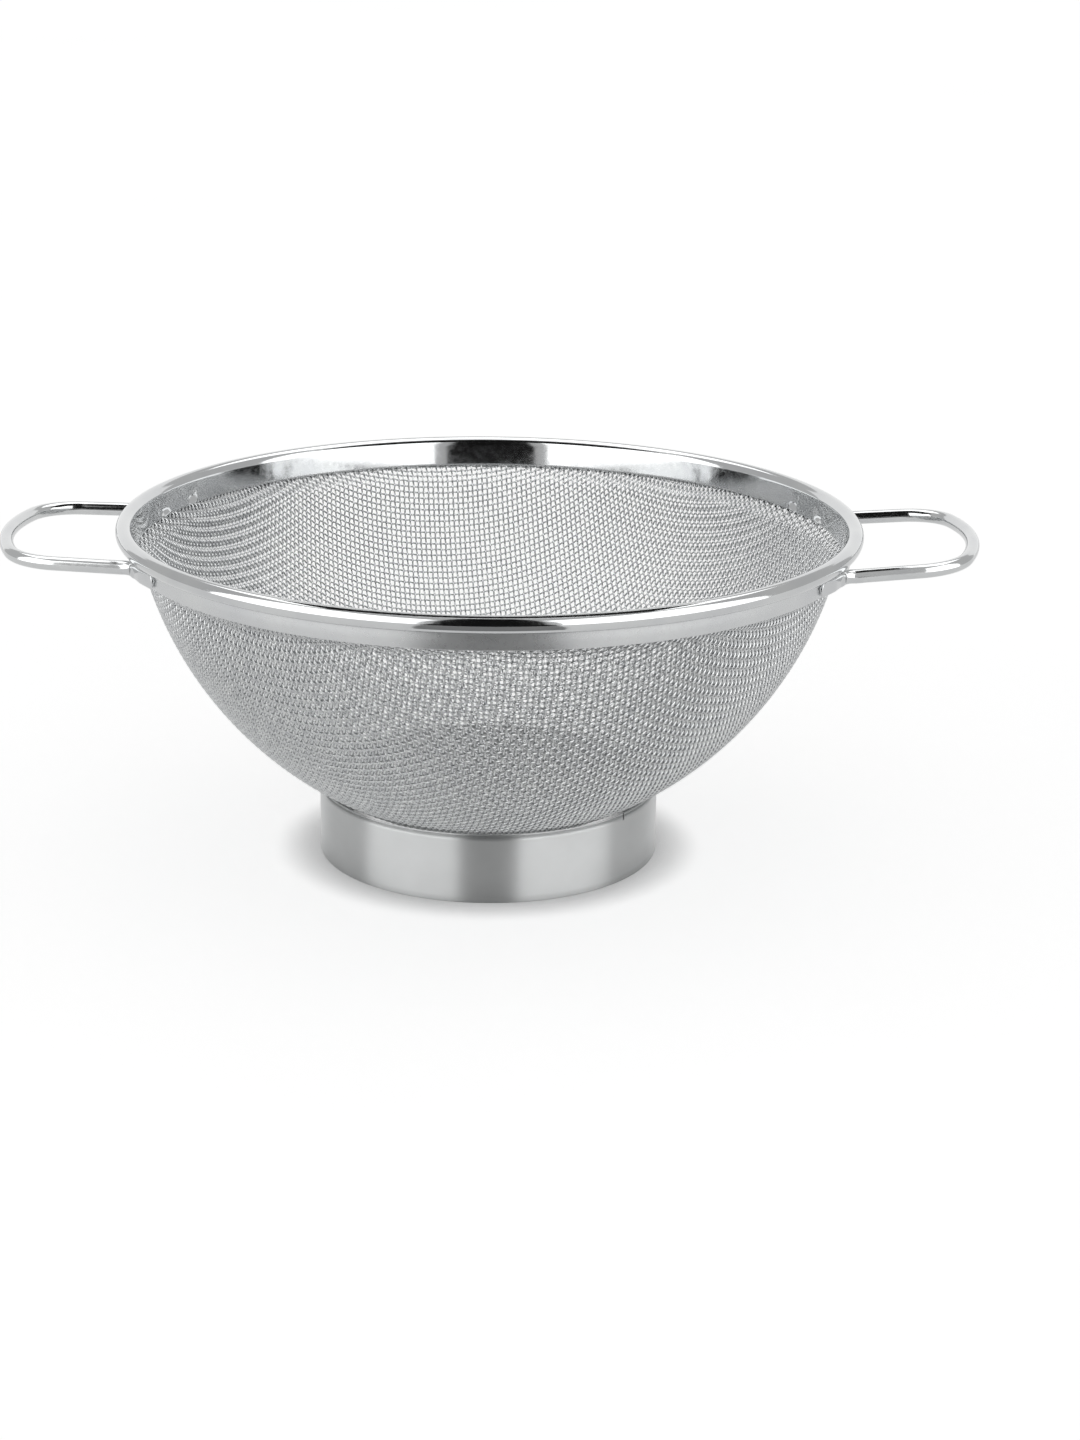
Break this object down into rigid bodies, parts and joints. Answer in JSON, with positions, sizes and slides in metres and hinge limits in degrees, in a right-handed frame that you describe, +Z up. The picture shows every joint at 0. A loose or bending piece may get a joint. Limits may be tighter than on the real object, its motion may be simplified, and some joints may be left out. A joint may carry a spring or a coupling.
{
  "type": "wire mesh strainer",
  "caption": "Round wire-mesh strainer bowl with a rolled steel rim, a wire loop handle on each side and a low sheet-steel foot ring.",
  "frame": {"origin": "on the floor, under the middle of the foot ring", "axes": "+Z up through the bowl's mouth, X along the two handles, +X to the right handle"},
  "size_m": [0.3142, 0.24, 0.1122],
  "materials": {
    "wire_cloth": "bright drawn stainless wire, plain weave",
    "rim_sheet": "mirror-polished stainless sheet",
    "core_wire": "plain drawn steel, hidden in the rim",
    "foot_sheet": "satin-polished stainless sheet",
    "handle_wire": "mirror-polished stainless wire"
  },
  "bodies": {
    "root": {"mesh_bowl": "wire_cloth", "rim_band": "rim_sheet", "rim_core_wire": "core_wire", "foot_ring": "foot_sheet", "handle_left": "handle_wire", "handle_right": "handle_wire"}
  },
  "joints": []
}
